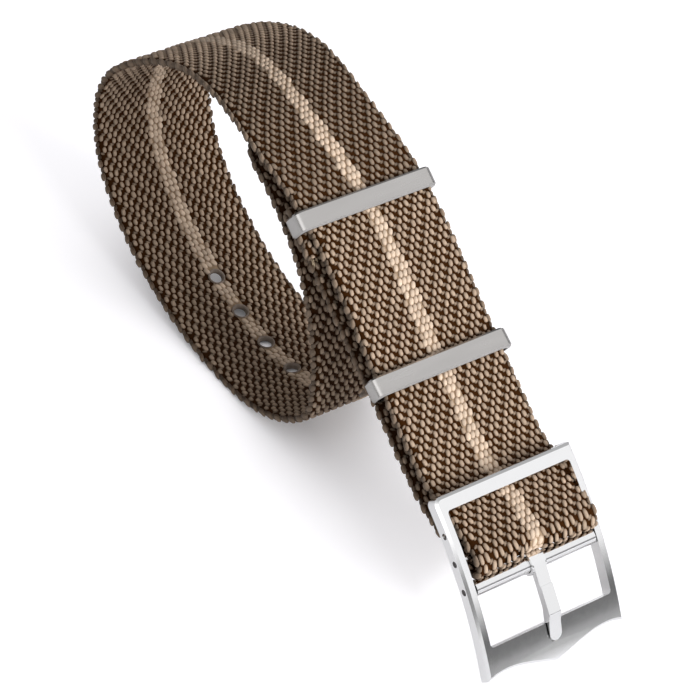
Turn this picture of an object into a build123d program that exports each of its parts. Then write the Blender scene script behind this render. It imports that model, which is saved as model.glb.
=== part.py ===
from build123d import *
import os
from math import atan2, cos, degrees, radians, sin

# A pull-through watch strap, lying in a loop on a table. Sizes are in millimetres.
# The side view is drawn in X (towards the buckle) and Z (up), with the strap bar at zero.

# Webbing
strap_width = 19.8
strap_thickness = 1.2

# The long strand, from the strap bar over the ramp and round the loop to the tail
buckle_run = 7.7
buckle_run_slope = 15.5
under_bar_radius = 14.0
ramp_run = 38.0
ramp_slope = 33.0
crest_radius = 31.7
back_upper_radius = 36.8
back_middle_radius = 14.6
back_lower_radius = 15.8
floor_radius = 43.2
front_lower_radius = 26.0
front_upper_radius = 7.0
riser_radius = 30.0
riser_turn = 35.0
tail_radius = 29.0
tail_turn = 32.0
tail_end_turn = 17.0
tail_tip_length = 8.0

# Punched holes of the tail, measured along the strand from the strap bar
hole_radius = 1.1
hole_pitch = 6.6
hole_count = 10
first_hole_run = 139.1

# The short return layer below the ramp, and its turned end
return_run = 33.5
dip_radius = 1.5
dip_turn = 30.0
under_keeper_run = 2.8
flap_run = 6.0
flap_gap = 0.1
bar_tuck = 0.1

# Thread that closes the turned end
thread_width = 0.3
stitch_pitch = 2.1
stitch_margin = 1.5
stitch_setback = 0.9

# Keepers
keeper_width = 2.8
keeper_wall = 0.8
keeper_side_clearance = 0.5
keeper_corner = 1.5
keeper_bevel = 0.25
keeper_top_clearance = 0.45
keeper_low_clearance = 0.4
fixed_keeper_top_clearance = 0.2
floating_keeper_run = 12.9
keeper_lean = 4.0

# Buckle frame, leaning down from the strand until its nose meets the table
buckle_lean = 28.39
rail_width = 1.25
frame_side_clearance = 0.2
frame_bow_radius = 57.0
rail_height = 2.0
rear_reach = 8.9
front_reach = 16.2
rear_bar_length = 2.0
rear_bar_thickness = 1.1
plate_length = 4.2
plate_thickness = 1.5
brace_dip = 0.45
brace_nose = 1.3
brace_shoulder = 0.35
brace_dip_share = 0.62
brace_shoulder_share = 0.3
frame_corner = 1.1
window_corner = 0.5
frame_bevel = 0.35
pivot_depth = 1.0
pivot_pitch = 3.85
pivot_hole_radius = 0.45
notch_depth = 0.55
notch_clearance = 0.15

# Spring bars
strap_bar_radius = 0.75
tongue_bar_radius = 1.1
bar_end_clearance = 0.2
bar_wall = 0.18
bar_lip_length = 0.5
pin_clearance = 0.06
pin_head_length = 2.0
pin_head_gap = 0.05
pin_hole_setback = 0.2
spring_wire_width = 0.2
spring_turns = 8
spring_clearance = 0.09
fold_clearance = 0.08

# Tongue
tongue_width = 1.95
collar_width = 2.3
collar_wall = 0.4
collar_clearance = 0.07
blade_thickness = 0.95
blade_reach = 8.0
tongue_tip_setback = 5.35
tongue_tip_rise = 0.12
tongue_rounding = 0.25
tip_thickness_share = 0.7
step_reach = 3.1
step_height = 0.2

# Reach of every cutting tool past what it cuts
overrun = 1.0

bar_names = ("tube", "pin_left", "pin_right", "spring")
half_thickness = strap_thickness / 2
fold_radius = strap_bar_radius + fold_clearance + half_thickness
ramp_turn = buckle_run_slope - ramp_slope
window_width = strap_width + 2 * frame_side_clearance
frame_width = window_width + 2 * rail_width
keeper_length = strap_width + 2 * (keeper_side_clearance + keeper_wall)
pin_radius = pivot_hole_radius - pin_clearance
tongue_reach = front_reach - tongue_tip_setback
stitch_count = round((strap_width - 2 * stitch_margin) / stitch_pitch)


def along(heading):
    """Unit vector at this many degrees from +X towards +Y of the drawing plane."""
    return Vector(cos(radians(heading)), sin(radians(heading)))


def edge_pieces(start, heading, steps, side):
    """Edge of a strip, this far to the left of a centreline of straight runs and arcs."""
    point = start + side * along(heading + 90)
    pieces = []
    for size, turn in steps:
        if turn == 0:
            piece = Line(point, point + size * along(heading))
        elif turn > 0:
            piece = JernArc(point, along(heading), size - side, turn)
        else:
            piece = JernArc(point, along(heading), size + side, turn)
        pieces.append(piece)
        point = piece @ 1
        heading += turn
    return pieces


def strip(start, heading, steps):
    """Webbing that follows a centreline, as a solid across the full width."""
    left = edge_pieces(start, heading, steps, half_thickness)
    right = edge_pieces(start, heading, steps, -half_thickness)
    caps = [Line(left[0] @ 0, right[0] @ 0), Line(left[-1] @ 1, right[-1] @ 1)]
    outline = make_face([piece.edge() for piece in left + right + caps])
    return extrude(Plane.XZ * outline, amount=strap_width / 2, both=True)


def end_of(start, heading, steps):
    """Last point and heading of a centreline."""
    point = edge_pieces(start, heading, steps, 0)[-1] @ 1
    return point, heading + sum(turn for size, turn in steps)


def strand_plane(point, heading):
    """Plane with X along a strand and Z out of its upper side, at a point of the side view."""
    forward = along(heading)
    spot = (point.X, 0, point.Y)
    return Plane(origin=spot, x_dir=(forward.X, 0, forward.Y), z_dir=(forward.Y, 0, -forward.X))


# The strand leaves the top of the strap bar towards the back of the loop
strand_heading = 180 - buckle_run_slope
strand_start = fold_radius * along(90 - buckle_run_slope)
return_start = -fold_radius * along(90 - buckle_run_slope)
ramp_approach = [(buckle_run, 0), (under_bar_radius, ramp_turn)]
crest_steps = [(ramp_run, 0), (crest_radius, ramp_slope)]
loop_steps = [
    (back_upper_radius, 45),
    (back_middle_radius, 45),
    (back_lower_radius, 45),
    (floor_radius, 45),
    (front_lower_radius, 45),
    (front_upper_radius, 45),
    (riser_radius, riser_turn),
    (tail_radius, tail_turn),
]
strand_steps = ramp_approach + crest_steps + loop_steps
ramp_start, ramp_heading = end_of(strand_start, strand_heading, ramp_approach)
tail_start, tail_heading = end_of(strand_start, strand_heading, strand_steps)
tail_steps = [(tail_radius, tail_end_turn)]

# Under the fixed keeper the return layer drops to make room for the bar and the turned end
bar_pocket = keeper_wall + 2 * flap_gap
turn_radius = (bar_pocket + strap_thickness) / 2
keeper_drop = flap_gap + strap_thickness + 2 * turn_radius
dip = keeper_drop - 2 * fold_radius
dip_run = (dip - 2 * dip_radius * (1 - cos(radians(dip_turn)))) / sin(radians(dip_turn))
return_steps = [
    (buckle_run, 0),
    (under_bar_radius + 2 * fold_radius, ramp_turn),
    (return_run, 0),
    (dip_radius, dip_turn),
    (dip_run, 0),
    (dip_radius, -dip_turn),
    (under_keeper_run, 0),
]
flap_steps = [(turn_radius, -180), (flap_run, 0)]
turn_point, turn_heading = end_of(return_start, strand_heading, return_steps)


def tail():
    """Last stretch of the strand, cut to a rounded tip."""
    band = strip(tail_start, tail_heading, tail_steps)
    end, heading = end_of(tail_start, tail_heading, tail_steps)
    tip = Ellipse(tail_tip_length, strap_width / 2) + Pos(-tail_tip_length) * Rectangle(
        2 * tail_tip_length, strap_width
    )
    waste = Rectangle(2 * (tail_tip_length + overrun), strap_width + 2 * overrun) - tip
    cutter = extrude(Pos(-tail_tip_length) * waste, amount=strap_thickness * 2, both=True)
    return band - strand_plane(end, heading) * cutter


def tail_holes():
    """Punches for the row of holes, each square to the strand where it goes through."""
    centre = edge_pieces(strand_start, strand_heading, strand_steps, 0)
    centreline = Wire([piece.edge() for piece in centre])
    punches = []
    for number in range(hole_count):
        run = first_hole_run + number * hole_pitch
        point = centreline.position_at(run, position_mode=PositionMode.LENGTH)
        tangent = centreline.tangent_at(run, position_mode=PositionMode.LENGTH)
        heading = degrees(atan2(tangent.Y, tangent.X))
        punches.append(strand_plane(point, heading) * Cylinder(hole_radius, 2 * strap_thickness))
    return punches


def webbing():
    """One woven band: return layer, fold round the strap bar, ramp, loop and tail."""
    ring = Circle(fold_radius + half_thickness) - Circle(fold_radius - half_thickness)
    front_half = Pos(fold_radius) * Rectangle(2 * fold_radius, 4 * fold_radius)
    bend = Rot(0, 0, -buckle_run_slope) * (ring & front_half)
    fold = extrude(Plane.XZ * bend, amount=strap_width / 2, both=True)
    long_strand = strip(strand_start, strand_heading, strand_steps)
    return_layer = strip(return_start, strand_heading, return_steps + flap_steps)
    return long_strand - tail_holes() + tail() + fold + return_layer


def flap_stitching():
    """Thread that runs back and forth through the turned end and the layer below it."""
    flap_end, flap_heading = end_of(return_start, strand_heading, return_steps + flap_steps)
    seam = strand_plane(flap_end - stitch_setback * along(flap_heading), flap_heading)
    low = -half_thickness - thread_width / 2
    high = 2 * fold_radius - flap_gap - half_thickness + thread_width / 2
    first = -stitch_pitch * stitch_count / 2
    points = []
    for number in range(stitch_count + 1):
        across = first + number * stitch_pitch
        levels = (low, high) if number % 2 else (high, low)
        points += [Vector(0, across, level) for level in levels]
    route = Polyline(*points)
    section = Plane(route @ 0, z_dir=route % 0) * Rectangle(thread_width, thread_width)
    return seam * sweep(section, path=route, transition=Transition.RIGHT)


def keeper(inner_height, top_clearance):
    """Flat band bent to a closed rectangle round the strand, centred on the strand."""
    outer = Rectangle(keeper_length, inner_height + 2 * keeper_wall)
    outer = fillet(outer.vertices(), keeper_corner)
    inner = Rectangle(keeper_length - 2 * keeper_wall, inner_height)
    inner = fillet(inner.vertices(), keeper_corner - keeper_wall)
    ring = extrude(Plane.YZ * (outer - inner), amount=keeper_width / 2, both=True)
    faces = ring.faces().sort_by(Axis.X)
    rims = faces[0].outer_wire().edges() + faces[-1].outer_wire().edges()
    ring = chamfer(rims, keeper_bevel)
    rise = half_thickness + top_clearance - inner_height / 2
    return Pos(0, 0, rise) * ring


def fixed_keeper():
    """Keeper held by the turned end of the return layer."""
    height = fixed_keeper_top_clearance + 2 * (strap_thickness + flap_gap)
    bar_centre = turn_point - (keeper_width / 2 - bar_tuck) * along(turn_heading)
    bar_centre += turn_radius * along(turn_heading - 90)
    over_bar = half_thickness + 2 * flap_gap + strap_thickness + keeper_wall / 2
    foot = bar_centre + over_bar * along(turn_heading - 90)
    return strand_plane(foot, turn_heading) * keeper(height, fixed_keeper_top_clearance)


def floating_keeper():
    """Keeper that slides on the ramp between the fixed keeper and the buckle."""
    height = keeper_top_clearance + strap_thickness + keeper_low_clearance
    foot = ramp_start + floating_keeper_run * along(ramp_heading)
    plane = strand_plane(foot, ramp_heading)
    return plane * (Rot(0, keeper_lean, 0) * keeper(height, keeper_top_clearance))


# The buckle is drawn flat, with X towards its front, Y across, Z up and the strap bar at zero
bow_centre_height = pivot_depth - frame_bow_radius


def bow(depth):
    """Solid cylinder whose side lies this deep below the frame's bowed top."""
    return Pos(0, 0, bow_centre_height) * Cylinder(
        frame_bow_radius - depth, frame_width + 2 * overrun, rotation=(90, 0, 0)
    )


def pivot_spot(number):
    """Centre and tilt of a pair of bar holes, counted from the strap bar towards the front."""
    reach = frame_bow_radius - pivot_depth
    turn = degrees(number * pivot_pitch / reach)
    spot = (reach * sin(radians(turn)), 0, bow_centre_height + reach * cos(radians(turn)))
    return Location(spot, (0, turn, 0))


def frame_plan():
    """Outline from above: square at the rear, brace-shaped at the front."""
    half = frame_width / 2
    dip_y = brace_dip_share * half
    shoulder_y = brace_shoulder_share * half
    tip = (front_reach, half)
    dip_point = (front_reach - brace_dip, dip_y)
    shoulder = (front_reach + brace_shoulder, shoulder_y)
    nose = (front_reach + brace_nose, 0)
    front = Spline(tip, dip_point, shoulder, nose)
    rear = Polyline(tip, (-rear_reach, half), (-rear_reach, 0))
    outline = front.edges() + rear.edges()
    plan = make_face(outline + [mirror(edge, about=Plane.XZ) for edge in outline])
    corners = plan.vertices().sort_by(Axis.X)[:2]
    return fillet(corners, frame_corner)


def buckle_frame():
    """Bowed frame with a rear bar, two drilled rails and a brace-edged front plate."""
    depth = 2 * rail_height + rear_reach
    solid = extrude(frame_plan(), amount=depth, both=True) & (bow(0) - bow(rail_height))
    top = solid.faces().sort_by(Axis.Z)[-1]
    solid = chamfer(top.edges(), frame_bevel)
    window_rear = -rear_reach + rear_bar_length
    window_front = front_reach - plate_length
    window = Rectangle(window_front - window_rear, window_width)
    window = fillet(window.vertices(), window_corner)
    solid -= extrude(Pos((window_front + window_rear) / 2) * window, amount=depth, both=True)
    pocket = Box(2 * rear_reach, window_width, 2 * depth)
    solid -= Pos(window_rear + window_corner - rear_reach) * pocket & bow(rear_bar_thickness)
    solid -= Pos(window_front - window_corner + rear_reach) * pocket & bow(plate_thickness)
    for number in (-1, 0, 1):
        solid -= pivot_spot(number) * Cylinder(
            pivot_hole_radius, frame_width + 2 * overrun, rotation=(90, 0, 0)
        )
    notch_width = tongue_width + 2 * notch_clearance
    notch_reach = pivot_pitch + tongue_reach + notch_clearance
    channel = SlotOverall(2 * (notch_reach - window_front), notch_width)
    channel = extrude(Pos(window_front) * channel, amount=depth, both=True) - bow(notch_depth)
    return solid - channel


def bar_pieces(radius):
    """Tube, two sprung pins and the spring between them, along Y about zero."""
    half = window_width / 2 - bar_end_clearance
    bore = radius - bar_wall
    lip = half - bar_lip_length
    head_face = lip - pin_head_gap
    head_back = head_face - pin_head_length
    tip = frame_width / 2 - pin_hole_setback
    tube = Cylinder(radius, 2 * half) - Cylinder(bore, 2 * lip)
    tube -= Cylinder(pin_radius + pin_clearance, 2 * (half + overrun))
    head = Pos(0, 0, (head_face + head_back) / 2) * Cylinder(bore - pin_clearance, pin_head_length)
    shank = Pos(0, 0, (tip + head_back) / 2) * Cylinder(pin_radius, tip - head_back)
    pin = head + shank
    coil_radius = bore - spring_clearance - spring_wire_width / 2
    coil_height = 2 * (head_back - spring_wire_width)
    coil = Helix(coil_height / spring_turns, coil_height, coil_radius)
    wire = Plane(coil @ 0, z_dir=coil % 0) * Rectangle(spring_wire_width, spring_wire_width)
    spring = sweep(wire, path=coil, is_frenet=True)
    spring = Pos(0, 0, -coil_height / 2) * spring
    across = Rot(-90, 0, 0)
    return across * tube, across * Rot(180, 0, 0) * pin, across * pin, across * spring


def plate_level(reach):
    """Height of the frame's bowed top, this far ahead of the tongue bar."""
    return pivot_depth + (frame_bow_radius**2 - reach**2) ** 0.5 - frame_bow_radius


def tongue():
    """Rolled collar round the tongue bar and a stepped blade whose tip lies in the plate."""
    bore = tongue_bar_radius + collar_clearance
    collar_radius = bore + collar_wall
    landing = plate_level(blade_reach) - notch_depth + tongue_tip_rise
    tip_level = plate_level(tongue_reach) - notch_depth + tongue_tip_rise
    blade_low = collar_radius - blade_thickness
    blade_high = collar_radius + step_height
    points = [
        (0, blade_low),
        (blade_reach - 2 * blade_thickness, blade_low),
        (blade_reach, landing),
        (tongue_reach, tip_level),
        (tongue_reach, tip_level + blade_thickness * tip_thickness_share),
        (blade_reach + blade_thickness / 2, landing + blade_thickness),
        (blade_reach - blade_thickness, blade_high),
        (step_reach, blade_high),
        (step_reach, collar_radius),
        (0, collar_radius),
    ]
    profile = make_face(Polyline(*points, close=True))
    bends = profile.vertices().filter_by(lambda v: blade_reach - 3 * blade_thickness < v.X)
    profile = fillet(bends, tongue_rounding)
    blade = extrude(Plane.XZ * profile, amount=tongue_width / 2, both=True)
    blade &= extrude(SlotOverall(2 * tongue_reach, tongue_width), amount=frame_width, both=True)
    collar = Cylinder(collar_radius, collar_width, rotation=(90, 0, 0))
    return blade + collar - Cylinder(bore, collar_width + 2 * overrun, rotation=(90, 0, 0))


def build():
    """All pieces by node name, in the strap bar's frame."""
    band = webbing()
    frame = buckle_frame()
    swing = Rot(0, buckle_run_slope + buckle_lean, 0)
    strap_bar = dict(zip(bar_names, bar_pieces(strap_bar_radius)))
    tongue_bar = dict(zip(bar_names, bar_pieces(tongue_bar_radius)))
    front = swing * pivot_spot(1)
    pieces = {
        "webbing": band,
        "flap_stitching": flap_stitching(),
        "keeper_fixed": fixed_keeper(),
        "keeper_floating": floating_keeper(),
        "buckle_frame": swing * frame,
        "tongue": front * tongue(),
    }
    for name in bar_names:
        pieces["strap_bar_" + name] = swing * strap_bar[name]
        pieces["tongue_bar_" + name] = front * tongue_bar[name]
    return pieces


pieces = build()
box = Compound(list(pieces.values())).bounding_box()
to_origin = Pos(-(box.min.X + box.max.X) / 2, 0, -box.min.Z)
os.makedirs("parts", exist_ok=True)
for name, piece in pieces.items():
    export_step(to_origin * piece, f"parts/{name}.step")
    print(name, round(piece.volume, 2))
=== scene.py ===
import math

import bpy
import numpy as np
from mathutils import Matrix, Vector


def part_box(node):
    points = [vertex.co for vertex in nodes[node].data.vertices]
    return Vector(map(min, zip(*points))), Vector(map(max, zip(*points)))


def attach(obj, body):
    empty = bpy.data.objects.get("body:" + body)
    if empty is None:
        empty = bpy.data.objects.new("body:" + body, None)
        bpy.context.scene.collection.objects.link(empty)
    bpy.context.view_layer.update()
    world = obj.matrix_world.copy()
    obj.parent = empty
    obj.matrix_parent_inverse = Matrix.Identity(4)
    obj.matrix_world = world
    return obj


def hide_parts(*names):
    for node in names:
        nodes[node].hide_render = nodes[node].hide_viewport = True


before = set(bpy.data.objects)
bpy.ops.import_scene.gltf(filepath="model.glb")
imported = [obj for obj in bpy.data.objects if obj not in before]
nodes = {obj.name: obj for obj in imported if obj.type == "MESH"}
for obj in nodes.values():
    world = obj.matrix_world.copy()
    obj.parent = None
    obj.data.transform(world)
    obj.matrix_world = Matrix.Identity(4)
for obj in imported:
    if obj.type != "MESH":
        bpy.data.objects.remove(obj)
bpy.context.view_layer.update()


# Camera. A long lens looks down on the strap from the buckle's right-hand side, at the
# photograph's own angle and distance, with the photograph's square frame.
eye = bpy.data.cameras.new("eye")
eye.sensor_width = 36
eye.lens = 154.286
eye.clip_start = 0.01
camera = bpy.data.objects.new("camera", eye)
bpy.context.scene.collection.objects.link(camera)
camera.matrix_world = Matrix((
    (0.57358, -0.60591, 0.55126, 0.22831),
    (0.80964, 0.31706, -0.49392, -0.20429),
    (0.12449, 0.72963, 0.67242, 0.29281),
    (0, 0, 0, 1),
))
bpy.context.scene.camera = camera
bpy.context.scene.view_settings.view_transform = "Standard"


# Studio table. A matt white sheet that glows for the camera and less so for the steel. It goes to
# plain white away from the strap. Under the strap its glow is dimmed as a painted shadow, over the
# real soft shadow, and inside the buckle's window a painted patch of light keeps it light.
def add_node(tree, kind, inputs, **settings):
    """A shader node with its settings, and its inputs set to a value or wired to an output."""
    made = tree.nodes.new("ShaderNode" + kind)
    for label, value in settings.items():
        setattr(made, label, value)
    for label, value in inputs.items():
        if isinstance(value, bpy.types.NodeSocket):
            tree.links.new(value, made.inputs[label])
        else:
            made.inputs[label].default_value = value
    return made


# How much the table glows for each kind of ray, how far the strap's painted shadow reaches and how
# open the air over it has to be for the whole glow, and the painted patch of light under the
# buckle's window.
camera_glow = 0.7
mirror_glow = 0.17
painted_shadow_reach = 0.035
open_enough = 0.8
painted_light_centre = (0.0425, 0.001, 0)
painted_light_inner = 0.007
painted_light_outer = 0.016
painted_light_strength = 0.6
bpy.ops.mesh.primitive_plane_add(size=6)
table = bpy.context.object
table.name = "table_top"
table_white = bpy.data.materials.new("table_white")
table_white.use_nodes = True
tree = table_white.node_tree
tree.nodes.clear()
ray = add_node(tree, "LightPath", {})
seen_glow = add_node(tree, "Math", {
    0: ray.outputs["Is Camera Ray"], 1: camera_glow}, operation="MULTIPLY")
glow = add_node(tree, "Math", {
    0: ray.outputs["Is Glossy Ray"], 1: mirror_glow, 2: seen_glow.outputs[0],
}, operation="MULTIPLY_ADD")
# Painted shadow: the glow is dimmed where the strap closes in the air over the table.
cover = add_node(tree, "AmbientOcclusion", {"Distance": painted_shadow_reach}, samples=8)
painted_shadow_mask = add_node(tree, "MapRange", {
    "Value": cover.outputs["AO"], "From Min": 0.0, "From Max": open_enough})
# Painted light: a patch of extra glow round the middle of the buckle's window.
place = add_node(tree, "TexCoord", {})
from_painted_light = add_node(tree, "VectorMath", {
    0: place.outputs["Object"], 1: painted_light_centre}, operation="DISTANCE")
painted_light_patch = add_node(tree, "MapRange", {
    "Value": from_painted_light.outputs["Value"], "From Min": painted_light_inner, "From Max": painted_light_outer,
    "To Min": painted_light_strength, "To Max": 0.0}, interpolation_type="SMOOTHSTEP")
painted_light_and_shadow = add_node(tree, "Math", {
    0: painted_shadow_mask.outputs["Result"], 1: painted_light_patch.outputs["Result"]}, operation="ADD")
strength = add_node(tree, "Math", {
    0: glow.outputs[0], 1: painted_light_and_shadow.outputs[0]}, operation="MULTIPLY")
lift = add_node(tree, "Emission", {"Color": (0.98, 0.97, 1, 1), "Strength": strength.outputs[0]})
matt = add_node(tree, "BsdfDiffuse", {"Color": (0.86, 0.86, 0.88, 1)})
both = add_node(tree, "AddShader", {0: matt.outputs[0], 1: lift.outputs[0]})
add_node(tree, "OutputMaterial", {"Surface": both.outputs[0]})
table.data.materials.append(table_white)


# Studio room. White to the camera. The steel mirrors it bright overhead, with a dark band low
# down that shades the front plate, dim towards the loop's end and brightest on the near side,
# which the keepers' corners catch. The cloth gets a third of its light.

# Pairs of a height in the room and its brightness, then the spans of the room over which it
# goes dim from end to end and bright from side to side.
room_stops = [
    (0.0, 0.7), (0.05, 0.42), (0.1, 0.18), (0.2, 0.14), (0.27, 0.44), (0.35, 0.8), (0.38, 1.0),
    (1.0, 1.0),
]
cloth_share = 0.34
dim_end = {"From Min": -0.7, "From Max": -0.25, "To Min": 0.35, "To Max": 1.0}
near_side = {"From Min": -0.85, "From Max": -0.6, "To Max": 1.0}
near_gain = 0.8
room = bpy.data.worlds.new("room")
room.use_nodes = True
bpy.context.scene.world = room
tree = room.node_tree
tree.nodes.clear()
ray = add_node(tree, "LightPath", {})
place = add_node(tree, "TexCoord", {})
axes = add_node(tree, "SeparateXYZ", {0: place.outputs["Generated"]})
shades = add_node(tree, "ValToRGB", {0: axes.outputs["Z"]})
for at, grey in room_stops[2:]:
    shades.color_ramp.elements.new(at)
for stop, (at, grey) in zip(shades.color_ramp.elements, room_stops):
    stop.position = at
    stop.color = (grey, grey, grey * 1.01, 1)
level = add_node(tree, "MapRange", {
    "Value": ray.outputs["Is Glossy Ray"], "To Min": cloth_share, "To Max": 1.0})
along_room = add_node(tree, "MapRange", {"Value": axes.outputs["X"], **dim_end})
dimmed = add_node(tree, "Math", {
    0: level.outputs["Result"], 1: along_room.outputs["Result"]}, operation="MULTIPLY")
gain = add_node(tree, "Math", {
    0: ray.outputs["Is Glossy Ray"], 1: near_gain, 2: 1.0}, operation="MULTIPLY_ADD")
across_room = add_node(tree, "MapRange", {
    "Value": axes.outputs["Y"], "To Min": gain.outputs[0], **near_side})
strength = add_node(tree, "Math", {
    0: dimmed.outputs[0], 1: across_room.outputs["Result"]}, operation="MULTIPLY")
walls = add_node(tree, "Background", {
    "Color": shades.outputs["Color"], "Strength": strength.outputs[0]})
seen = add_node(tree, "Background", {"Color": (1, 1, 1, 1)})
pick = add_node(tree, "MixShader", {
    0: ray.outputs["Is Camera Ray"], 1: walls.outputs[0], 2: seen.outputs[0]})
add_node(tree, "OutputWorld", {"Surface": pick.outputs[0]})


# Studio lamps. A broad lamp stands low beyond the buckle's end, so that the top of the loop and
# its inside fall into shade, and a weak one stands high on the far side. The steel mirrors the
# room and no lamp.
def lamp(name, place, size, power):
    """A square lamp, aimed at the middle of the strap."""
    light = bpy.data.lights.new(name, "AREA")
    light.size = size
    light.energy = power
    holder = bpy.data.objects.new(name, light)
    bpy.context.scene.collection.objects.link(holder)
    aim = Vector(strap_middle) - Vector(place)
    holder.location = place
    holder.rotation_euler = aim.to_track_quat("-Z", "Y").to_euler()
    holder.visible_glossy = False


strap_middle = (0, 0, 0.02)
lamp("key_lamp", (0.68, 0.1, 0.3), 0.5, 6.3)
lamp("far_lamp", (0.12, 0.6, 0.62), 1.0, 1.2)


# Webbing. One nylon band woven in brown with a beige stripe down the middle of both faces: it runs
# from its turned end under the keepers, round the strap bar, over the top, round the loop and ends
# in the punched tail. Its face is rows of short yarn floats over gaps painted dark as shade.

# Places on it are millimetres: the run along it, across it, and lift from its middle layer. Each
# step of its route is a straight length with no turn, or a radius with its turn in degrees.
band_route = [
    (6.0, 0), (1.1, 180), (2.8, 0), (1.5, 30), (0.476, 0), (1.5, -30), (33.5, 0), (16.86, 17.5),
    (8.05, 0), (1.43, 180),
    (8.05, 0), (14, -17.5), (38, 0), (31.7, 33), (36.8, 45), (14.6, 45), (15.8, 45), (43.2, 45),
    (26, 45), (7, 45), (30, 35), (29, 32), (29, 17),
]
flap_heading = 147
longest_part = 0.4
sharpest_part = 8


def follow_route():
    """The band's middle line in the side plane, as run, x, z and heading, and where steps start."""
    run, x, z, heading = 0.0, 0.0, 0.0, float(flap_heading)
    line = [(run, x, z, heading)]
    marks = []
    for size, turn in band_route:
        marks.append(run)
        length = size if turn == 0 else size * abs(math.radians(turn))
        parts = max(math.ceil(length / longest_part), math.ceil(abs(turn) / sharpest_part))
        for part in range(1, parts + 1):
            middle_heading = math.radians(heading + turn * (part - 0.5) / parts)
            chord = length / parts
            if turn:
                half = math.radians(abs(turn) / parts) / 2
                chord = 2 * size * math.sin(half)
            x += chord * math.cos(middle_heading)
            z += chord * math.sin(middle_heading)
            line.append((run + length * part / parts, x, z, heading + turn * part / parts))
        run += length
        heading += turn
    marks.append(run)
    return np.array(line), marks


# The line is moved so that its fold goes round the strap bar, with a little slack.
fold_step = 9
fold_slack = 0.35
band_line, band_marks = follow_route()
bar_low, bar_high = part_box("strap_bar_tube")
bar = (bar_low + bar_high) / 2 * 1000
fold_run, fold_end = band_marks[fold_step:fold_step + 2]
fold_start = band_line[np.argmin(abs(band_line[:, 0] - fold_run))]
fold_turn = math.radians(fold_start[3])
fold_size = band_route[fold_step][0]
fold_x = fold_start[1] - fold_size * math.sin(fold_turn) - fold_slack * math.cos(fold_turn)
fold_z = fold_start[2] + fold_size * math.cos(fold_turn) - fold_slack * math.sin(fold_turn)
band_line[:, 1] += bar.x - fold_x
band_line[:, 2] += bar.z - fold_z
strand_run = fold_end + fold_slack
band_end = band_marks[-1]

# The band sways from side to side: pairs of a run past the fold and a shift. The fold bulges
# towards the tongue bar on both sides of the tongue's collar.
sway_table = [
    (-72, -1.0), (-61, -0.8), (-57, 0), (-8, 0), (-2, 0.5), (0, 0.75), (7, 0.8), (12, 0.1),
    (20, 0.15), (26, 0.2), (30, 0.25), (40, 0.62), (46, 0.55), (50, 0.2), (55, -0.45), (61, -1.0),
    (66, -0.85), (70, -0.2), (75, 0.5), (82, 1.1), (90, 0.6), (100, -0.7), (112, -0.8), (130, -0.8),
    (140, -0.4), (150, 0), (157, 0.2), (165, 0), (224, 0),
]
sway_blur = np.linspace(-3, 3, 7)
fold_bulge = 0.73
bulge_reach = 2.4
fold_middle = (fold_run + fold_end) / 2
collar_half = 1.9


def band_point(run, across, lift):
    """World place, in metres, of points at a run along the band, across it and above its middle."""
    heading = np.radians(np.interp(run, band_line[:, 0], band_line[:, 3]))
    x = np.interp(run, band_line[:, 0], band_line[:, 1]) + lift * np.sin(heading)
    z = np.interp(run, band_line[:, 0], band_line[:, 2]) - lift * np.cos(heading)
    runs, shifts = zip(*sway_table)
    sway = np.mean([np.interp(run - strand_run + step, runs, shifts) for step in sway_blur], axis=0)
    beside_collar = 1 - np.exp(-((across + sway) / collar_half) ** 4)
    bulge = fold_bulge * np.exp(-((run - fold_middle) / bulge_reach) ** 2) * beside_collar
    return np.stack([x + bulge * math.cos(fold_turn), across + sway,
                     z + bulge * math.sin(fold_turn)], -1) / 1000


# The tail ends in a rounded tip and has a row of round holes.
tail_half = 9.9
tail_tip = 8.0
hole_radius = 1.1
hole_count = 10
hole_pitch = 6.6
first_hole = strand_run + 139.1
hole_runs = [first_hole + hole_pitch * n for n in range(hole_count)]


def half_width(run):
    """Half the band's width at a run, which shrinks over the rounded tail tip."""
    gone = np.clip((run - (band_end - tail_tip)) / tail_tip, 0, 1)
    return tail_half * np.sqrt(np.clip(1 - gone ** 2, 0, 1))


def start_skin(name):
    """A new material, its node tree and its surface node."""
    skin = bpy.data.materials.new(name)
    skin.use_nodes = True
    return skin, skin.node_tree, skin.node_tree.nodes["Principled BSDF"]


def dented_grain(tree, face, vector, scale, detail, strength, depth):
    """Fine grain pressed into a surface. The grain is given back, to colour the surface with."""
    grain = add_node(tree, "TexNoise", {"Vector": vector, "Scale": scale, "Detail": detail})
    dent = add_node(tree, "Bump", {
        "Height": grain.outputs["Fac"], "Strength": strength, "Distance": depth})
    tree.links.new(dent.outputs["Normal"], face.inputs["Normal"])
    return grain.outputs["Fac"]


def two_tone(tree, share, low, high):
    """A colour that goes from low to high with a share."""
    mixed = add_node(tree, "Mix", {"Factor": share, "A": (*low, 1), "B": (*high, 1)},
                     data_type="RGBA")
    return mixed.outputs["Result"]


def nylon(name, low, high, rough):
    """Dyed nylon yarn, with painted shade where a float dives under its neighbours and a painted
    highlight on its back.
    """
    skin, tree, face = start_skin(name)
    face.inputs["Roughness"].default_value = rough
    face.inputs["Specular IOR Level"].default_value = 0.15
    # Painted shade and highlight: each point's painted lightness picks its colour between low and
    # high.
    painted_lightness = add_node(tree, "Attribute", {}, attribute_name="painted_lightness")
    tone_and_painted_light = add_node(tree, "Attribute", {}, attribute_name="tone_and_painted_light")
    vary = add_node(tree, "HueSaturation", {
        "Color": two_tone(tree, painted_lightness.outputs["Fac"], low, high), "Value": tone_and_painted_light.outputs["Fac"]})
    tree.links.new(vary.outputs["Color"], face.inputs["Base Color"])
    place = add_node(tree, "TexCoord", {})
    dented_grain(tree, face, place.outputs["Object"], 6000, 2, 0.25, 0.00005)
    return skin


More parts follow.
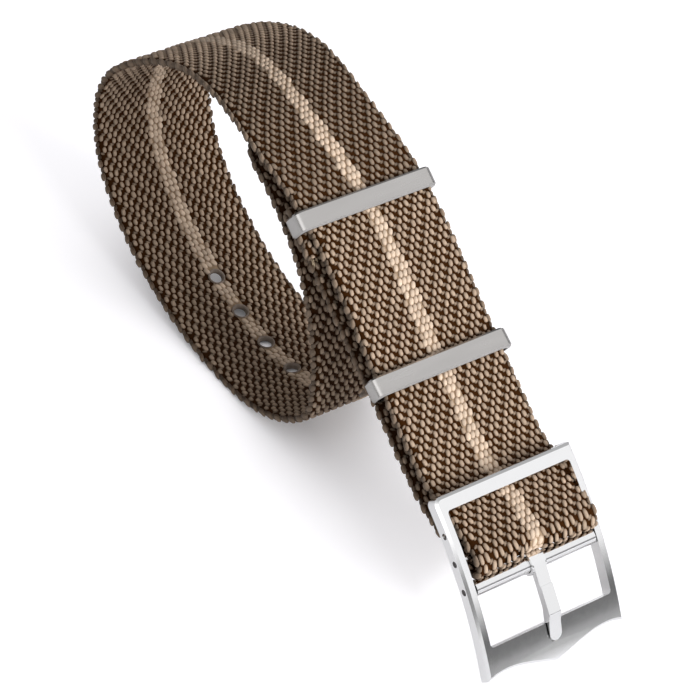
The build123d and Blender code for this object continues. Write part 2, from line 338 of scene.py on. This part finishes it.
# The first colour of each yarn is painted shade, used low down on the floats; the second is used on
# their tops.
yarns = (
    nylon("brown_yarn", (0.08, 0.036, 0.014), (0.47, 0.355, 0.262), 0.55),
    nylon("beige_yarn", (0.30, 0.20, 0.125), (0.72, 0.57, 0.44), 0.55),
    # Painted shade: the core in the gaps is nearly black under the brown and a darker beige under
    # the stripe.
    nylon("painted_shade_gap_yarn", (0.026, 0.008, 0.001), (0.046, 0.015, 0.002), 0.9),
    nylon("painted_shade_gap_beige", (0.34, 0.24, 0.155), (0.40, 0.285, 0.19), 0.8),
)
brown, beige, brown_gap_shade, beige_gap_shade = range(4)


def band_object(name, points, faces, skins, painted_lightness, tone_and_painted_light):
    """A mesh in the four yarns, with the painted light and shade of each point and its tone."""
    mesh = bpy.data.meshes.new(name)
    mesh.from_pydata(np.asarray(points).tolist(), [], faces)
    for skin in yarns:
        mesh.materials.append(skin)
    mesh.polygons.foreach_set("material_index", skins)
    mesh.polygons.foreach_set("use_smooth", [True] * len(faces))
    for label, values in (("painted_lightness", painted_lightness), ("tone_and_painted_light", tone_and_painted_light)):
        layer = mesh.attributes.new(label, "FLOAT", "POINT")
        layer.data.foreach_set("value", np.asarray(values).astype(np.float32))
    piece = bpy.data.objects.new(name, mesh)
    bpy.context.scene.collection.objects.link(piece)
    return piece


# Half the thickness of the core, which is painted dark as the shade in the weave's gaps, how far it
# stays inside the band's edges, and its outline in shares of half its width and thickness. The
# strips in mid face lie under the stripe.
core_half = 0.36
core_margin = 0.35
narrowest_core = 0.05
core_outline = [
    (-1, -0.55), (-0.94, -1), (-0.11, -1), (0.11, -1), (0.94, -1), (1, -0.55),
    (1, 0.55), (0.94, 1), (0.11, 1), (-0.11, 1), (-0.94, 1), (-1, 0.55),
]
stripe_strips = (2, 8)
core_painted_lightness = 0.5
core_tone = 1.0


def punch_hole(core, run):
    """Cut one round hole through a length of the core, so wide that its melted rim hides the cut."""
    centre = Vector(band_point(run, 0, 0))
    upward = Vector(band_point(run, 0, 1)) - centre
    bpy.ops.mesh.primitive_cylinder_add(vertices=24, radius=(hole_radius + 0.1) / 1000,
                                        depth=0.004, location=centre,
                                        rotation=upward.to_track_quat("Z", "Y").to_euler())
    punch = bpy.context.object
    cut = core.modifiers.new("punch", "BOOLEAN")
    cut.object = punch
    cut.operation = "DIFFERENCE"
    cut.solver = "EXACT"
    bpy.context.view_layer.objects.active = core
    bpy.ops.object.modifier_apply(modifier=cut.name)
    bpy.data.objects.remove(punch)


def band_core_piece(name, first, last):
    """The inside of a length of the band, painted dark as the shade in the weave's gaps, closed at
    its ends, with its punched holes.
    """
    runs = np.array([first] + [r for r in band_line[:, 0] if first < r < last] + [last])
    wide = np.array([max(half_width(r) - core_margin, narrowest_core) for r in runs])
    grid = np.stack([band_point(runs, side * wide, np.full(len(runs), high * core_half))
                     for side, high in core_outline], 1)
    n = len(core_outline)
    faces, skins = [], []
    for i in range(len(runs) - 1):
        for k in range(n):
            a = i * n + k
            b = i * n + (k + 1) % n
            faces.append((a, a + n, b + n, b))
            skins.append(beige_gap_shade if k in stripe_strips else brown_gap_shade)
    faces.append(tuple(range(n)))
    faces.append(tuple(range(len(runs) * n - 1, (len(runs) - 1) * n - 1, -1)))
    skins.extend([brown_gap_shade, brown_gap_shade])
    core = band_object(name, grid.reshape(-1, 3), faces, skins,
                       np.full(len(runs) * n, core_painted_lightness), np.full(len(runs) * n, core_tone))
    for run in hole_runs:
        if first < run < last:
            punch_hole(core, run)
    # A punched hole leaves new points, which need the values too.
    for label, value in (("painted_lightness", core_painted_lightness), ("tone_and_painted_light", core_tone)):
        core.data.attributes[label].data.foreach_set("value", [value] * len(core.data.vertices))
    return core


def low_dome(rings, sides, roundness=0.8):
    """A dome from rings of (spread, height, light), closed over the top and underneath. The light of
    a ring is painted: shade low down, highlight on top.
    """
    points, painted_lightness, faces = [], [], []
    for spread, high, light in rings:
        for k in range(sides):
            turn = 2 * math.pi * k / sides
            round_x = math.cos(turn)
            round_y = math.sin(turn)
            points.append((spread * math.copysign(abs(round_x) ** roundness, round_x),
                           spread * math.copysign(abs(round_y) ** roundness, round_y), high))
            painted_lightness.append(light)
    points.append((0, 0, 1))
    painted_lightness.append(1)
    for ring in range(len(rings) - 1):
        for k in range(sides):
            a = ring * sides + k
            b = ring * sides + (k + 1) % sides
            faces.append((a, b, b + sides, a + sides))
    last = (len(rings) - 1) * sides
    for k in range(sides):
        faces.append((last + k, last + (k + 1) % sides, last + sides))
    faces.append(tuple(range(sides - 1, -1, -1)))
    return np.array(points), faces, np.array(painted_lightness)


# The weave lies in rows across the band. Each row is pairs of floats, shifted from the row
# before, with a third float between the pairs in the stripe and a small knot there outside it.
row_pitch = 0.97
row_shift = 0.61
pair_pitch = 2.35
pair_spread = 0.46
pair_count = 12
row_overhang = 12
stripe_half = 1.05
knot_margin = 0.3
edge_margin = 0.5
hole_margin = 0.35
left_float, right_float, middle_float, knot = -1, 1, 0, 2


def float_places(first, last):
    """Each float of one face between two runs: run, across and which of its pair it is."""
    places = []
    for row in range(math.floor(first / row_pitch), math.ceil(last / row_pitch) + 1):
        run = row * row_pitch
        if not first <= run < last:
            continue
        start = (row * row_shift) % pair_pitch - row_overhang
        for pair in range(pair_count):
            for member in (left_float, right_float, middle_float, knot):
                across = start + pair * pair_pitch + member * pair_spread
                if member == middle_float:
                    across += pair_pitch / 2
                    if abs(across) > stripe_half:
                        continue
                if member == knot:
                    across += (pair_pitch + row_shift) / 2 - 2 * pair_spread
                    if abs(across) < stripe_half + knot_margin:
                        continue
                from_hole = min(math.hypot(run - h, across) for h in hole_runs)
                clear = from_hole > hole_radius + hole_margin
                if clear and abs(across) < half_width(run) - edge_margin:
                    places.append((run, across, member))
    return places


# A size is half a length, half a width and a height, and a lean is in degrees. Each right-hand brown
# float ends in a short bit of yarn that dives under the next one; these bits and the small knots get
# painted shade. The loops of the selvage are low and high by turns and get painted shade, most on
# the low loops and the near edge. Over the top of the loop the brown on one face gets painted shade,
# then a painted sheen at the back bend.
# The third number of each ring is its painted lightness: painted shade low down, painted highlight
# on top.
float_dome = low_dome([(1.0, -0.15, 0.1), (0.9, 0.42, 0.7), (0.55, 0.87, 1.0)], 10)
tail_dome = low_dome([(1.0, -0.3, 0.0), (0.75, 0.6, 0.7)], 8)
loop_bead = low_dome([(0.45, -0.92, 0.3), (0.85, -0.5, 0.6), (1.0, 0, 0.8), (0.85, 0.5, 0.8),
                      (0.45, 0.92, 0.8)], 8)
float_size = np.array((0.53, 0.34, 0.26))
size_spread = 0.05
tone_spread = 0.06
lean_spread = 3
stripe_gain = 0.14
stripe_lean = 20
brown_lean = -6
knot_size = (0.2, 0.42, 0.12)
knot_lean = -30
# Painted shade on the knots, which sit low between the pairs.
knot_painted_shade = 0.62
dive_back = 0.4
dive_aside = 0.26
dive_size = (0.36, 0.2, 0.19)
dive_lean = -27
dive_spread = 4
# Painted shade on the bits that dive under the next float.
dive_painted_shade = 0.75
loop_size = np.array((0.42, 0.26, 0.45))
loop_growth = np.array((0.2, 0.06, 0.09))
loop_inset = 0.25
loop_reach = 0.13
loop_slant = 0.5
loop_reach_spread = 0.03
loop_lean_spread = 8
narrowest_edge = 4
# Painted shade over the top of the loop and a painted sheen at the back bend, as pairs of a run past
# the fold and a factor on the brown.
crest_painted_shade_and_sheen = [(46, 1), (53, 0.6), (66, 0.6), (76, 0.72), (86, 1.4), (92, 1.3), (100, 1)]
chance = np.random.default_rng(7)


def weave_piece(name, first, last):
    """The yarn floats of both faces and the loops of both selvages between two runs."""
    points, faces, skins, painted_lightnesses, tones_and_painted_light = [], [], [], [], []
    count = 0

    def lay(shape, run, across, lift, size, lean, side, skin, tone_and_painted_light, slant=0):
        """Put one dome down on a side of the band, turned by its lean."""
        nonlocal count
        local, cells, painted_lightness = shape
        turn = math.radians(lean)
        along = local[:, 0] * size[0]
        wide = local[:, 1] * size[1]
        high = local[:, 2] * size[2]
        at_run = run + along * math.cos(turn) - wide * math.sin(turn) + slant * high
        at_run = np.clip(at_run, 0, band_end)
        at_across = across + along * math.sin(turn) + wide * math.cos(turn)
        points.append(band_point(at_run, at_across, side * (lift + high)))
        cells = cells if side == 1 else [tuple(reversed(cell)) for cell in cells]
        faces.extend([tuple(c + count for c in cell) for cell in cells])
        skins.extend([skin] * len(cells))
        painted_lightnesses.append(painted_lightness)
        tones_and_painted_light.append(np.full(len(local), tone_and_painted_light))
        count += len(local)

    for side in (1, -1):
        for run, across, member in float_places(first, last):
            skin = beige if abs(across) < stripe_half else brown
            size = 1 + chance.normal(0, size_spread) + (stripe_gain if skin == beige else 0)
            tone_and_painted_light = 1 + chance.normal(0, tone_spread)
            # Painted shade, then painted sheen, on the brown over the top of the loop.
            if side == 1 and skin == brown:
                tone_and_painted_light *= np.interp(run - strand_run, *zip(*crest_painted_shade_and_sheen))
            if member == knot:
                lay(tail_dome, run + row_pitch / 2, across, core_half, knot_size, knot_lean,
                    side, skin, tone_and_painted_light * knot_painted_shade)
                continue
            lean = stripe_lean if skin == beige else brown_lean * member
            lay(float_dome, run, across, core_half, float_size * size,
                lean + chance.normal(0, lean_spread), side, skin, tone_and_painted_light)
            if member == right_float and skin == brown:
                lay(tail_dome, run - dive_back, across + dive_aside, core_half, dive_size,
                    dive_lean + chance.normal(0, dive_spread), side, skin, tone_and_painted_light * dive_painted_shade)
    for edge in (-1, 1):
        for row in range(math.ceil(first / row_pitch), math.ceil(last / row_pitch)):
            run = row * row_pitch
            if half_width(run) < narrowest_edge:
                continue
            high = row % 2
            reach = half_width(run) - loop_inset + loop_reach * high
            reach += chance.normal(0, loop_reach_spread)
            lean = chance.normal(0, loop_lean_spread)
            # Painted shade: the loops are darker than the floats, most of all the low ones and those
            # on the near edge.
            tone_and_painted_light = (0.46 + 0.04 * edge) * (1 + 0.5 * high) + chance.normal(0, tone_spread)
            lay(loop_bead, run, edge * reach, 0, loop_size + loop_growth * high, lean,
                1, brown, tone_and_painted_light, loop_slant)
    return band_object(name, np.concatenate(points), faces, skins,
                       np.concatenate(painted_lightnesses), np.concatenate(tones_and_painted_light))


def make_band(name, first, last):
    """One length of the band: its core and its weave in one piece."""
    core = band_core_piece(name, first, last)
    weave = weave_piece(name + "_floats", first, last)
    bpy.ops.object.select_all(action="DESELECT")
    weave.select_set(True)
    core.select_set(True)
    bpy.context.view_layer.objects.active = core
    bpy.ops.object.join()
    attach(core, "strap")
    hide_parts("webbing")


# Six lengths, from the turned end to the tail's tip, keep each mesh light enough.
make_band("webbing_turn", 0, 33)
make_band("webbing_return", 33, strand_run)
make_band("webbing_ramp", strand_run, strand_run + 58)
make_band("webbing_crest", strand_run + 58, strand_run + 112)
make_band("webbing_lower", strand_run + 112, strand_run + 168)
make_band("webbing_tail", strand_run + 168, band_end)


# Hole rims. The holes are punched with a hot pin, which melts the yarn ends of each hole into
# a smooth hard ring that stands a little proud on both faces.
def melted(name, colour):
    """Nylon that has been melted or cut, in uneven shades of one colour."""
    skin, tree, face = start_skin(name)
    face.inputs["Roughness"].default_value = 0.4
    face.inputs["Specular IOR Level"].default_value = 0.3
    place = add_node(tree, "TexCoord", {})
    grain = dented_grain(tree, face, place.outputs["Object"], 2500, 2, 0.3, 0.00008)
    shade = two_tone(tree, grain, [c * 0.7 for c in colour], [c * 1.25 for c in colour])
    tree.links.new(shade, face.inputs["Base Color"])
    return skin


def closed_piece(name, points, faces, skin):
    """A smooth object made of closed shapes, with every face turned outward."""
    mesh = bpy.data.meshes.new(name)
    mesh.from_pydata([tuple(p) for p in points], [], faces)
    mesh.materials.append(skin)
    piece = bpy.data.objects.new(name, mesh)
    bpy.context.scene.collection.objects.link(piece)
    bpy.ops.object.select_all(action="DESELECT")
    piece.select_set(True)
    bpy.context.view_layer.objects.active = piece
    bpy.ops.object.mode_set(mode="EDIT")
    bpy.ops.mesh.select_all(action="SELECT")
    bpy.ops.mesh.normals_make_consistent(inside=False)
    bpy.ops.object.mode_set(mode="OBJECT")
    bpy.ops.object.shade_smooth()
    return piece


# The ring's profile, as a radius and a lift for each point of it.
rim_profile = [
    (1.3, -0.3), (1.27, -0.5), (1.18, -0.58), (1.06, -0.48), (0.88, -0.2),
    (0.88, 0.2), (1.06, 0.48), (1.18, 0.58), (1.27, 0.5), (1.3, 0.3),
]
rim_sides = 28
rim_wobble = 0.012
rim_points, rim_faces = [], []
for number, hole_run in enumerate(hole_runs):
    start = len(rim_points)
    n = len(rim_profile)
    for k in range(rim_sides):
        turn = 2 * math.pi * k / rim_sides
        wobble = 1 + rim_wobble * math.sin(3 * turn + number)
        for radius, lift in rim_profile:
            rim_points.append(band_point(hole_run + radius * wobble * math.cos(turn),
                                         radius * wobble * math.sin(turn), lift))
        a = start + k * n
        b = start + (k + 1) % rim_sides * n
        for j in range(n):
            rim_faces.append((a + j, b + j, b + (j + 1) % n, a + (j + 1) % n))
hole_rims = closed_piece("hole_rims", rim_points, rim_faces,
                         melted("melted_nylon", (0.28, 0.225, 0.185)))
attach(hole_rims, "strap")


# Frayed end. The turned end of the band is cut, not melted, so its yarns stand out in front of
# the fixed keeper as a short uneven fringe. Each yarn is a thin five-sided taper.
fringe_turn = math.radians(flap_heading)
fringe_ahead = Vector((-math.cos(fringe_turn), 0, -math.sin(fringe_turn)))
fringe_up = Vector((0.54, 0, 0.84))
fringe_count = 110
fringe_half = 9.4
fringe_shares = (-0.35, 0.3, 0.7, 1.0)
fringe_sizes = (0.085, 0.08, 0.065, 0.03)
fringe_sides = 5
fringe_points, fringe_faces = [], []
for number in range(fringe_count):
    place = (number + chance.uniform(-0.6, 0.6)) / (fringe_count - 1)
    across = fringe_half * (2 * place - 1)
    root = Vector(band_point(0, across, chance.uniform(-0.35, 0.35)))
    reach = chance.uniform(0.25, 1.3) / 1000
    drift = Vector((chance.normal(0, 0.22), chance.normal(0, 0.3), chance.normal(0.1, 0.22)))
    start = len(fringe_points)
    for share, size in zip(fringe_shares, fringe_sizes):
        centre = root + reach * share * (fringe_ahead + drift * max(share, 0))
        for k in range(fringe_sides):
            turn = 2 * math.pi * k / fringe_sides
            round_yarn = Vector((0, math.cos(turn), 0)) + math.sin(turn) * fringe_up
            fringe_points.append(centre + size / 1000 * round_yarn)
    for ring in range(len(fringe_shares) - 1):
        for k in range(fringe_sides):
            a = start + ring * fringe_sides + k
            b = start + ring * fringe_sides + (k + 1) % fringe_sides
            fringe_faces.append((a, b, b + fringe_sides, a + fringe_sides))
    end = len(fringe_points) - fringe_sides
    fringe_faces.append(tuple(start + k for k in range(fringe_sides - 1, -1, -1)))
    fringe_faces.append(tuple(end + k for k in range(fringe_sides)))
frayed_end = closed_piece("frayed_end", fringe_points, fringe_faces,
                          melted("loose_yarn", (0.42, 0.33, 0.22)))
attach(frayed_end, "strap")


# Buckle frame and tongue. Both are cast in stainless steel, ground and polished, so that they
# mirror the room. Their shapes are the solids' own.
def steel(name, colour, rough, grain_scale, grain_depth, cloud=0.02, brushed=1.0):
    """Bare steel, clouded a little, with its grain drawn out across the strap by brushing."""
    skin, tree, face = start_skin(name)
    face.inputs["Metallic"].default_value = 1
    place = add_node(tree, "TexCoord", {})
    drawn = add_node(tree, "Mapping", {
        "Vector": place.outputs["Object"], "Scale": (1, brushed, 1)})
    grain = dented_grain(tree, face, drawn.outputs["Vector"], grain_scale, 4, grain_depth, 0.00002)
    shade = two_tone(tree, grain, [c * (1 - cloud) for c in colour],
                     [c * (1 + cloud) for c in colour])
    spread = add_node(tree, "MapRange", {
        "Value": grain, "To Min": rough * 0.8, "To Max": rough * 1.2})
    tree.links.new(shade, face.inputs["Base Color"])
    tree.links.new(spread.outputs["Result"], face.inputs["Roughness"])
    return skin


def dress(name, skin):
    """Give a solid's own node one material."""
    nodes[name].data.materials.clear()
    nodes[name].data.materials.append(skin)


polished = steel("polished_steel", (0.88, 0.88, 0.88), 0.12, 900, 0.05)
dress("buckle_frame", polished)
dress("tongue", polished)


# Keepers. Each is a flat steel band bent to a closed rectangle and brushed along its length,
# which gives it a satin face with fine lines from side to side.
satin = steel("satin_steel", (0.5, 0.485, 0.47), 0.26, 700, 0.12, cloud=0.1, brushed=0.12)
dress("keeper_fixed", satin)
dress("keeper_floating", satin)


# Bars. Each sprung bar is a turned steel tube with a spring and two end pins inside, whose
# tips show dark in the frame's side holes.
turned = steel("turned_steel", (0.85, 0.85, 0.85), 0.14, 3000, 0.1)
pin_steel = steel("pin_steel", (0.16, 0.15, 0.15), 0.5, 3000, 0.1)
for bar_name in ("strap_bar", "tongue_bar"):
    dress(bar_name + "_tube", turned)
    dress(bar_name + "_spring", turned)
    dress(bar_name + "_pin_left", pin_steel)
    dress(bar_name + "_pin_right", pin_steel)


# Stitching. A row of dark brown thread goes through both layers of the turned end and closes
# it round the fixed keeper's lower bar.
dress("flap_stitching", melted("sewing_thread", (0.13, 0.09, 0.06)))
